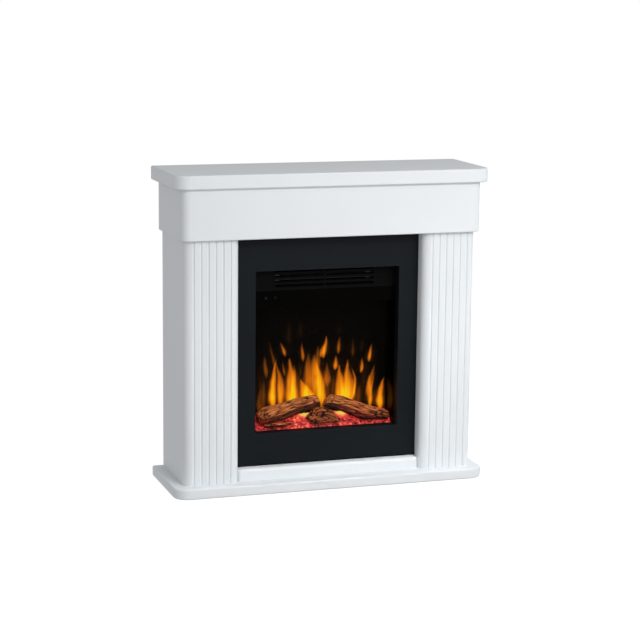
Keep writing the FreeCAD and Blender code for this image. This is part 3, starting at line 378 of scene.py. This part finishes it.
def block(name, columns, rows, surface, closing):
    """A closed mesh: a fine grid of points, its rim joined to the four corners behind it."""
    count = len(columns) * len(rows)
    wide = len(columns)
    points = [surface(u, v) for v in rows for u in columns]
    points += [closing(u, v) for u, v in (
        (columns[0], rows[0]), (columns[-1], rows[0]),
        (columns[-1], rows[-1]), (columns[0], rows[-1]))]
    faces = []
    for j in range(len(rows) - 1):
        for i in range(wide - 1):
            first = j * wide + i
            faces.append((first, first + 1, first + wide + 1, first + wide))
    low_rim = list(range(wide))
    high_rim = [count - wide + i for i in range(wide)]
    left_rim = [j * wide for j in range(len(rows))]
    right_rim = [j * wide + wide - 1 for j in range(len(rows))]
    faces.append((*low_rim[::-1], count, count + 1))
    faces.append((*right_rim[::-1], count + 1, count + 2))
    faces.append((*high_rim, count + 2, count + 3))
    faces.append((*left_rim, count + 3, count))
    faces.append((count + 3, count + 2, count + 1, count))
    mesh = bpy.data.meshes.new(name)
    mesh.from_pydata(points, [], faces)
    mesh.validate()
    mesh.update()
    return mesh, count


def steps(low, high, pitch):
    return np.linspace(low, high, int(round((high - low) / pitch)) + 1)


# ---------------------------------------------------------------- flame picture

# Each flame in mm on the screen: foot x, foot z, tip x, tip z, half width, bow, glow.
FLAMES = [
    (-111, 165, -104, 302, 8, -6, 1.00), (-93, 175, -104, 292, 9, 5, 0.74),
    (-106, 275, -127, 352, 4, 2, 0.36), (-80, 307, -97, 347, 4, 1, 0.60),
    (-84, 258, -89, 299, 3, 1, 0.42), (-63, 150, -71, 306, 14, 3, 1.00),
    (-62, 180, -58, 285, 8, 2, 0.70), (-25, 180, -41, 248, 14, 6, 0.98),
    (-11, 175, -28, 234, 14, 3, 1.00), (-20, 215, -20, 318, 11, 0, 0.60),
    (-41, 255, -44, 297, 3, 0, 0.22), (-33, 292, -38, 341, 4, -1, 0.58),
    (16, 163, 1, 292, 11, 4, 1.00), (3, 200, -6, 312, 14, -1, 0.66),
    (-2, 255, 6, 335, 8, 1, 0.50), (30, 222, 29, 290, 8, 0, 0.52),
    (20, 298, 28, 358, 5, -1, 0.82), (14, 300, 22, 338, 5, -2, 0.55),
    (59, 306, 63, 355, 4, -1, 0.52), (51, 266, 53, 305, 5, 0, 0.72),
    (71, 155, 60, 283, 13, 1, 1.00), (84, 150, 84, 292, 11, -2, 1.00),
    (90, 178, 91, 276, 3, 14, 0.80), (94, 175, 87, 272, 10, 3, 0.62),
    (86, 270, 80, 295, 3, 0, 0.30), (112, 165, 119, 238, 7, 0, 0.26),
    (99, 295, 99, 350, 4, -2, 0.30), (119, 310, 123, 343, 3, 0, 0.15),
    (120, 254, 122, 296, 4, 1, 0.74), (141, 282, 148, 329, 5, -1, 0.76),
    (144, 160, 141, 250, 7, 2, 0.84), (138, 195, 157, 278, 6, -3, 0.62),
    (148, 200, 157, 262, 2, -1, 0.60), (174, 152, 183, 241, 8, -6, 1.00),
    (-131, 255, -137, 318, 5, 1, 0.42), (-148, 165, -146, 232, 9, 0, 0.34),
    (-141, 200, -150, 278, 5, 1, 0.22), (-73, 338, -73, 398, 4, 0, 0.17),
    (-42, 352, -43, 398, 4, 0, 0.13), (59, 357, 59, 386, 3, 0, 0.11),
]
BELLY, SWELL = 0.36, 0.6
FLAME_SPREAD = 1.6
EDGE_POWER = 1.25
TIP_FADE, TIP_POWER = 0.60, 1.5
FOOT_FADE, FOOT_REACH = 0.45, 0.32
OVERLAP = 0.35
HALO, HALO_SPREAD = 0.32, 2.6
SCREEN_PITCH = 0.002
# Soft noise that bends and streaks the picture: its grain, its start, and how strong it is.
SWAY_GRAIN, SWAY_START, SWAY = (0.022, 1, 0.030), 3.7, 0.0022
CURL_GRAIN, CURL_START, CURL = (0.009, 1, 0.016), 9.1, 0.0009
STREAK_GRAIN, STREAK_START, STREAK = (0.005, 1, 0.045), 6.6, 0.22
HAZE_GRAIN, HAZE_START, HAZE, HAZE_CHANGE = (0.010, 1, 0.09), 1.3, 0.13, 0.20
# Where the haze lies, in mm: its level and height, its brighter middle, and its ends.
HAZE_LEVEL, HAZE_HEIGHT = 205, 62
HAZE_MIDDLE, HAZE_WIDTH, HAZE_EXTRA = -10, 55, 0.7
HAZE_END, HAZE_END_FADE = 170, 30


def flame_glow(x, z):
    """How bright the picture is, 0 to 1, at points given in mm."""
    brightest = np.zeros_like(x)
    total = np.zeros_like(x)
    for foot_x, foot_z, tip_x, tip_z, half_width, bow, glow in FLAMES:
        rise = np.clip((z - foot_z) / (tip_z - foot_z), 0.0, 1.0)
        centre = foot_x + (tip_x - foot_x) * rise + 4 * bow * rise * (1 - rise)
        swell = (rise / BELLY) ** SWELL
        swell *= ((1 - rise) / (1 - BELLY)) ** (SWELL * (1 - BELLY) / BELLY)
        across = np.abs(x - centre) / np.maximum(half_width * swell * FLAME_SPREAD, 0.01)
        body = np.clip(1 - across ** 2, 0.0, 1.0) ** EDGE_POWER
        halo = HALO * np.clip(1 - (across / HALO_SPREAD) ** 2, 0.0, 1.0) ** 2
        lit = np.where((rise > 0) & (rise < 1), 1 - TIP_FADE * rise ** TIP_POWER, 0.0)
        lit *= 1 - FOOT_FADE * (1 - ease(rise, 0.0, FOOT_REACH))
        body = glow * lit * np.maximum(body, halo)
        total += body
        brightest = np.maximum(brightest, body)
    return np.clip(brightest + OVERLAP * (total - brightest), 0.0, 1.0)


def haze_glow(points, x, z):
    """The dim glow between the flames."""
    haze = np.exp(-((z - HAZE_LEVEL) / HAZE_HEIGHT) ** 2)
    haze *= np.clip(HAZE + HAZE_CHANGE * field(points, HAZE_GRAIN, HAZE_START), 0, 1)
    haze *= 1 + HAZE_EXTRA * np.exp(-((x - HAZE_MIDDLE) / HAZE_WIDTH) ** 2)
    return haze * np.clip((HAZE_END - np.abs(x)) / HAZE_END_FADE, 0, 1)


def flame_screen():
    """The screen, its front a fine grid that holds the picture."""
    low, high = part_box("flame_screen")
    columns = steps(low.x, high.x, SCREEN_PITCH)
    rows = steps(low.z, high.z, SCREEN_PITCH)
    mesh, count = block(
        "flame_screen_front", columns, rows,
        lambda u, v: (u, low.y, v), lambda u, v: (u, high.y, v))
    points = points_of(mesh)
    sway = field(points, SWAY_GRAIN, SWAY_START) / MM * SWAY
    curl = field(points, CURL_GRAIN, CURL_START) / MM * CURL
    x, z = points[:, 0] / MM + sway + curl, points[:, 2] / MM
    streaks = 1 + STREAK * field(points, STREAK_GRAIN, STREAK_START)
    glow = np.maximum(flame_glow(x, z) * streaks, haze_glow(points, x, z))
    glow[count:] = 0
    hold(mesh, "flame_glow", glow)
    picture = MATERIALS["flame_screen"]
    new_piece("flame_screen_front", mesh, picture, ["flame_screen"])


# ---------------------------------------------------------------- ember bed

EMBER_PITCH = 0.0012
LUMP, LUMP_START, LUMP_RISE = 0.011, 2.3, 0.0026
PEBBLE, PEBBLE_START, PEBBLE_RISE = 0.0052, 5.9, 0.0014
BED_SINK, LUMP_EDGE = 0.0034, 0.35
HEAT, LUMP_HEAT, PEBBLE_HEAT, LUMP_MEAN = 0.56, 0.14, 0.16, 0.6
HEAT_NOISE = ((0.32, (0.016, 0.010, 1), 4.4), (0.46, (0.005, 0.004, 1), 8.2))
DARK_GRAIN, DARK_START, DARK = (0.012, 0.007, 1), 12.5, 0.40
DARK_FROM, DARK_TO = 0.32, 0.5
LEFT_COOLER, LEFT_FROM, LEFT_TO = 0.16, 0.06, 0.12
HOT_SPOTS = ((-0.031, 0.024), (0.064, 0.022))
HOT_WIDE, HOT_DEEP, HOT_PEAK, HOT_FALL = 0.019, 0.018, 1.15, 0.6
# LOG_SHADE and its reach set a painted shadow: the coals' glow is darkened close to the logs.
LOG_SHADE, SHADE_FROM, SHADE_REACH = 0.26, 0.001, 0.010


def lumps(points, size, seed):
    """Rounded stones: 1 at each one's middle, 0 in the gaps."""
    spots = points / size + seed
    near = np.array([mnoise.voronoi(Vector(spot))[0][:2] for spot in spots])
    return np.clip((near[:, 1] - near[:, 0]) / LUMP_EDGE, 0, 1)


def gap_to_logs(points):
    """How far each point is from the nearest log or stick."""
    meshes = [bpy.data.objects[name].data for name in
              ("bark_log_left", "bark_log_right", "bark_log_centre", "bark_stick")]
    spots = np.vstack([points_of(mesh) for mesh in meshes])
    tree = kdtree.KDTree(len(spots))
    for i, spot in enumerate(spots):
        tree.insert(Vector(spot), i)
    tree.balance()
    return np.array([tree.find(Vector(point))[2] for point in points])


def ember_bed():
    """A bank of small glowing coals that rises towards the screen."""
    low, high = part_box("ember_bed")
    solid = points_of(NODES["ember_bed"].data)
    profile = {}
    for x, y, z in solid:
        key = round(y, 5)
        profile[key] = max(profile.get(key, 0.0), z)
    ys = sorted(profile)
    heights = [profile[y] for y in ys]
    mesh, count = block(
        "ember_coals", steps(low.x, high.x, EMBER_PITCH), steps(low.y, high.y, EMBER_PITCH),
        lambda u, v: (u, v, float(np.interp(v, ys, heights))), lambda u, v: (u, v, low.z))
    points = points_of(mesh)
    flat = points * (1, 1, 0)
    coal = lumps(flat, LUMP, LUMP_START)
    grit = lumps(flat, PEBBLE, PEBBLE_START)
    rise = LUMP_RISE * np.sqrt(coal) + PEBBLE_RISE * np.sqrt(grit) - BED_SINK
    points[:count, 2] += np.minimum(rise, 0)[:count]
    move_points(mesh, points)
    heat = HEAT + PEBBLE_HEAT * (grit - LUMP_MEAN) + LUMP_HEAT * (coal - LUMP_MEAN)
    for strength, grain, start in HEAT_NOISE:
        heat += strength * field(flat, grain, start)
    heat -= LEFT_COOLER * ease(-points[:, 0], LEFT_FROM, LEFT_TO)
    heat -= DARK * ease(field(flat, DARK_GRAIN, DARK_START), DARK_FROM, DARK_TO)
    # Painted shadow: the coals' glow is darkened next to the logs and the stick, where they would
    # shade the bed.
    heat -= LOG_SHADE * (1 - ease(gap_to_logs(points), SHADE_FROM, SHADE_REACH))
    for x, y in HOT_SPOTS:
        away = np.hypot((points[:, 0] - x) / HOT_WIDE, (points[:, 1] - y) / HOT_DEEP)
        heat = np.maximum(heat, HOT_PEAK - away ** 2 * HOT_FALL)
    hold(mesh, "ember_heat", np.clip(heat, 0.0, 1.0))
    new_piece("ember_coals", mesh, MATERIALS["embers"], ["ember_bed"])


# ---------------------------------------------------------------- logs

LOG_VOXEL = 0.0011
LOG_GRAIN = (0.036, 0.0042, 0.0042)
LOG_FINE = (0.012, 0.0024, 0.0024)
LOG_WAVE = (0.045, 0.030, 0.030)
WEDGE_GRAIN = (0.022, 0.008, 0.008)
STICK_GRAIN = (0.022, 0.004, 0.004)
CRACK_DEPTH, FINE_DEPTH, WAVE_DEPTH = 0.0030, 0.0009, 0.0022
BEND, BEND_SHARE, PLATE_FROM, PLATE_TO = 0.012, 0.35, 0.02, 0.22
TONE_GRAIN, PATCH_GRAIN = (0.020, 0.007, 0.007), (0.028, 0.016, 0.016)
# The last of these is painted shade: how much of the bark's tone is left on faces that turn down.
UNDERSIDE, UPPER_SIDE, UNDERSIDE_SHADE = -0.55, 0.45, 0.12
RIDGE_TONE, THREAD_TONE, PATCH_TONE = 0.10, 0.55, 0.50
PATCH_FROM, PATCH_TO = -0.2, 0.45
EMBER_LEVEL, EMBER_REACH = 0.140, 0.062
# How strong the painted ember glow on the logs is everywhere, and how much stronger low down near
# the embers.
GLOW_ALL, GLOW_LOW = 0.35, 1.4
BEND_SEED, FINE_SEED, WAVE_SEED, TONE_SEED, PATCH_SEED = 31, 5, 11, 23, 17


def fine_copy(node, voxel):
    """An even, closed, fine mesh of a CAD solid."""
    source = bpy.data.objects.new(node + "_copy", NODES[node].data.copy())
    bpy.context.scene.collection.objects.link(source)
    remesh = source.modifiers.new("remesh", "REMESH")
    remesh.mode = "VOXEL"
    remesh.voxel_size = voxel
    graph = bpy.context.evaluated_depsgraph_get()
    mesh = bpy.data.meshes.new_from_object(source.evaluated_get(graph))
    bpy.data.objects.remove(source)
    return mesh


def unit_field(points, size, seed):
    """Soft noise from 0 to 1 at each point."""
    return 0.5 + 0.5 * field(points, size, seed)


def carve(node, name, grain, depth, seed, painted_glow):
    """A log or stick: its CAD solid with cracks, ridges and waves cut along its length."""
    mesh = fine_copy(node, LOG_VOXEL)
    mesh.name = name
    points, normals = points_of(mesh), points_of(mesh, "normal")
    line = np.polyfit(points[:, 0], points[:, 2], 2)
    straight = points.copy()
    straight[:, 2] -= np.polyval(line, points[:, 0])
    bends = BEND_SHARE * field(straight, LOG_WAVE, seed + BEND_SEED)[:, None] * (0, BEND, BEND)
    strands = field(straight + bends, grain, seed)
    plates = ease(np.abs(strands), PLATE_FROM, PLATE_TO)
    threads = unit_field(straight + bends, LOG_FINE, seed + FINE_SEED)
    waves = unit_field(straight, LOG_WAVE, seed + WAVE_SEED)
    cut = depth * ((1 - plates) * CRACK_DEPTH + threads * FINE_DEPTH + waves * WAVE_DEPTH)
    move_points(mesh, points - normals * cut[:, None])
    # Painted shade: the bark gets darker on faces that turn down, where the logs are in shadow.
    facing_up = ease(normals[:, 2], UNDERSIDE, UPPER_SIDE)
    tone = unit_field(straight, TONE_GRAIN, seed + TONE_SEED)
    ridge_and_shade = plates * (RIDGE_TONE + THREAD_TONE * threads + PATCH_TONE * tone)
    ridge_and_shade *= UNDERSIDE_SHADE + (1 - UNDERSIDE_SHADE) * facing_up
    hold(mesh, "bark_tone_and_shade", np.clip(ridge_and_shade, 0, 1))
    # Painted light: a red glow on the ridges, strongest low down where the embers light the logs.
    low_down = 1 - ease(points[:, 2], EMBER_LEVEL, EMBER_LEVEL + EMBER_REACH)
    patches = ease(field(straight, PATCH_GRAIN, seed + PATCH_SEED), PATCH_FROM, PATCH_TO)
    ember_glow = np.clip(painted_glow * patches * (GLOW_ALL + GLOW_LOW * low_down), 0, 1)
    hold(mesh, "bark_ember_glow", plates * threads * ember_glow)
    smooth(mesh)
    new_piece(name, mesh, MATERIALS["log_bark"], [node])


def logs():
    carve("log_left", "bark_log_left", LOG_GRAIN, depth=1.0, seed=2.0, painted_glow=0.8)
    carve("log_right", "bark_log_right", LOG_GRAIN, depth=1.0, seed=7.0, painted_glow=1.8)
    carve("log_centre", "bark_log_centre", WEDGE_GRAIN, depth=0.7, seed=13.0, painted_glow=0.5)
    carve("kindling_stick", "bark_stick", STICK_GRAIN, depth=0.35, seed=19.0, painted_glow=0.2)


# ---------------------------------------------------------------- key symbols

SYMBOL_THICK = 0.00025
SYMBOL_SINK = 0.0001
SUN_RAYS, DISC_POINTS = 8, 28
SUN_DISC, SUN_RAY_FROM, SUN_RAY_TO, SUN_RAY_HALF = 0.0016, 0.0024, 0.0038, 0.00028
INK = (0.012, 0.012, 0.012)
# In mm from the middle of the key.
FLAME_OUTLINE = [
    (0.0, -3.8), (1.6, -3.2), (2.6, -1.8), (2.7, -0.2), (2.0, 1.4), (1.5, 0.4), (1.1, 1.9),
    (0.1, 4.0), (-0.5, 2.2), (-1.8, 0.9), (-2.6, -0.6), (-2.5, -2.0), (-1.5, -3.3),
]


def flat_shapes(name, outlines, centre, front, body):
    """Thin plates with the given outlines, in the plane of a key's face."""
    points, faces = [], []
    for outline in outlines:
        start, count = len(points), len(outline)
        for y in (front - SYMBOL_THICK, front + SYMBOL_SINK):
            points += [(centre.x + u, y, centre.z + v) for u, v in outline]
        faces.append(tuple(start + i for i in range(count)))
        faces.append(tuple(start + count + i for i in reversed(range(count))))
        for i in range(count):
            j = (i + 1) % count
            faces.append((start + j, start + i, start + count + i, start + count + j))
    mesh = bpy.data.meshes.new(name)
    mesh.from_pydata(points, [], faces)
    mesh.update()
    ink = plain("key_ink", INK, 0.5, grain=900.0, specular=0.1)
    new_piece(name, mesh, ink, body=body)


def circle(radius):
    turns = [2 * math.pi * i / DISC_POINTS for i in range(DISC_POINTS)]
    return [(radius * math.cos(a), radius * math.sin(a)) for a in turns]


def sun_outlines():
    """A disc with rays round it."""
    outlines = [circle(SUN_DISC)]
    for i in range(SUN_RAYS):
        a = 2 * math.pi * i / SUN_RAYS
        along, across = Vector((math.cos(a), math.sin(a))), Vector((-math.sin(a), math.cos(a)))
        corners = ((SUN_RAY_FROM, -1), (SUN_RAY_TO, -1), (SUN_RAY_TO, 1), (SUN_RAY_FROM, 1))
        outlines.append([tuple(along * r + across * side * SUN_RAY_HALF) for r, side in corners])
    return outlines


def key_symbols():
    """The marks on the two keys: a flame and a sun."""
    flame = [[(u * MM, v * MM) for u, v in FLAME_OUTLINE]]
    for key, outlines in (("flame_button", flame), ("heat_button", sun_outlines())):
        low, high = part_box(key)
        flat_shapes(key + "_symbol", outlines, (low + high) / 2, low.y, key)


# ---------------------------------------------------------------- vent strip

VENT_ZONE, VENT_HALF = 0.006, 0.1835
STRIP_STEEL, STRIP_SINK, STRIP_GAP = 0.0005, 0.0001, 0.0004


def vent_shade_strip():
    """A black folded strip that lines the thin vent under the bottom trim: a return flange, put
    in dark so that it stands in for the shade in the gap.
    """
    solid = points_of(NODES["trim_bottom"].data)
    level = solid[:, 2].min()
    rise = solid[:, 2] - level
    corners = solid[(rise > STRIP_STEEL) & (rise < VENT_ZONE)]
    front, back = corners[:, 1].min() + STRIP_GAP, corners[:, 1].max() - STRIP_GAP
    top = corners[:, 2].max() - STRIP_GAP
    half = VENT_HALF - STRIP_GAP
    under, lip = level - STRIP_SINK, level + STRIP_STEEL
    profile = [(front, under), (front, lip), (back - STRIP_STEEL, lip), (back - STRIP_STEEL, top),
               (back, top), (back, under)]
    count = len(profile)
    points = [(x, y, z) for x in (-half, half) for y, z in profile]
    faces = [tuple(range(count)), tuple(range(2 * count - 1, count - 1, -1))]
    for i in range(count):
        j = (i + 1) % count
        faces.append((i, i + count, j + count, j))
    mesh = bpy.data.meshes.new("vent_shade_strip")
    mesh.from_pydata(points, [], faces)
    mesh.update()
    new_piece("vent_shade_strip", mesh, MATERIALS["case_steel"])


flame_screen()
logs()
ember_bed()
key_symbols()
vent_shade_strip()


# ---------------------------------------------------------------- stage, camera and lights

def emitter(name, centre, target, width, height, power, beam=180):
    """A soft box of light, aimed at a point; beam is how wide it shines, in degrees."""
    lamp = bpy.data.lights.new(name, "AREA")
    lamp.shape = "RECTANGLE"
    lamp.size = width
    lamp.size_y = height
    lamp.energy = power
    lamp.spread = math.radians(beam)
    holder = bpy.data.objects.new(name, lamp)
    holder.location = centre
    aim = Vector(target) - Vector(centre)
    holder.rotation_euler = aim.to_track_quat("-Z", "Y").to_euler()
    holder.visible_camera = False
    bpy.context.scene.collection.objects.link(holder)


WHITE = (1.0, 1.0, 1.0, 1.0)
FLOOR_SIZE, FLOOR_DROP = 60, 0.0005
FLOOR_GLOW, FLOOR_PAINT = 0.88, 0.30
SIDE_LIGHT = [(0.0, (0.72,) * 3), (0.5, (0.80,) * 3), (1.0, (0.92,) * 3)]
HIGH_LIGHT = [(0.0, (0.42,) * 3), (0.5, (0.86,) * 3), (1.0, (0.44,) * 3)]


def floor():
    """A white floor that takes soft shadows and throws no light on the object."""
    bpy.ops.mesh.primitive_plane_add(size=FLOOR_SIZE, location=(0, 0, -FLOOR_DROP))
    ground = bpy.context.object
    ground.name = "studio_floor"
    material, tree, shader = new_material("studio_floor")
    tone = noise(tree, place(tree), scale=0.5)
    stops = [(0.0, (FLOOR_PAINT,) * 3), (1.0, (FLOOR_PAINT * 1.02,) * 3)]
    link(tree, ramp(tree, tone, stops), shader.inputs["Base Color"])
    shader.inputs["Roughness"].default_value = 0.9
    shader.inputs["Specular IOR Level"].default_value = 0.0
    shader.inputs["Emission Color"].default_value = WHITE
    shader.inputs["Emission Strength"].default_value = FLOOR_GLOW
    ground.data.materials.append(material)
    ground.visible_diffuse = False
    ground.visible_glossy = False


def surround_light():
    """A white backdrop. Its light is weaker from the left, from overhead and from below."""
    world = bpy.data.worlds.new("studio")
    bpy.context.scene.world = world
    world.use_nodes = True
    tree = world.node_tree
    coords = add(tree, "ShaderNodeTexCoord")
    parts = add(tree, "ShaderNodeSeparateXYZ")
    link(tree, coords.outputs["Generated"], parts.inputs["Vector"])
    across = add(tree, "ShaderNodeMapRange")
    across.inputs["From Min"].default_value = -1.0
    link(tree, parts.outputs["X"], across.inputs["Value"])
    side = ramp(tree, across.outputs["Result"], SIDE_LIGHT)
    upward = add(tree, "ShaderNodeMapRange")
    upward.inputs["From Min"].default_value = -1.0
    link(tree, parts.outputs["Z"], upward.inputs["Value"])
    height = ramp(tree, upward.outputs["Result"], HIGH_LIGHT)
    light = add(tree, "ShaderNodeMix", data_type="RGBA", blend_type="MULTIPLY")
    light.inputs["Factor"].default_value = 1.0
    link(tree, side, light.inputs["A"])
    link(tree, height, light.inputs["B"])
    seen = add(tree, "ShaderNodeMix", data_type="RGBA")
    path = add(tree, "ShaderNodeLightPath")
    link(tree, path.outputs["Is Camera Ray"], seen.inputs["Factor"])
    link(tree, light.outputs["Result"], seen.inputs["A"])
    seen.inputs["B"].default_value = WHITE
    link(tree, seen.outputs["Result"], tree.nodes["Background"].inputs["Color"])


def studio():
    """A white floor and backdrop with soft light, mostly from the front right."""
    floor()
    surround_light()
    emitter("key_light", (1.3, -2.6, 1.3), target=(0, 0, 0.4),
            width=1.6, height=1.4, power=12)
    emitter("high_front", (0.3, -1.3, 1.25), target=(0.05, -0.1, 0.3),
            width=1.4, height=0.25, power=8.2)
    emitter("hearth_light", (0.3, -0.75, 1.25), target=(0.15, -0.16, 0.0),
            width=1.3, height=0.2, power=1.0, beam=50)


CAMERA_PLACE = (-1.4749, -4.4783, 1.2703)
CAMERA_YAW = 18.22
CAMERA_PITCH = 10.43
CAMERA_ROLL = 0.596
CAMERA_LENS = 108.33


def camera():
    """A long lens to the left of the middle, looking a little down."""
    data = bpy.data.cameras.new("camera")
    data.lens = CAMERA_LENS
    data.sensor_width = 36
    data.clip_end = 100
    holder = bpy.data.objects.new("camera", data)
    yaw = Matrix.Rotation(math.radians(-CAMERA_YAW), 4, "Z")
    pitch = Matrix.Rotation(math.radians(90 - CAMERA_PITCH), 4, "X")
    roll = Matrix.Rotation(math.radians(CAMERA_ROLL), 4, "Z")
    holder.matrix_world = Matrix.Translation(CAMERA_PLACE) @ yaw @ pitch @ roll
    bpy.context.scene.collection.objects.link(holder)
    bpy.context.scene.camera = holder


studio()
camera()
bpy.context.scene.view_settings.view_transform = "Standard"
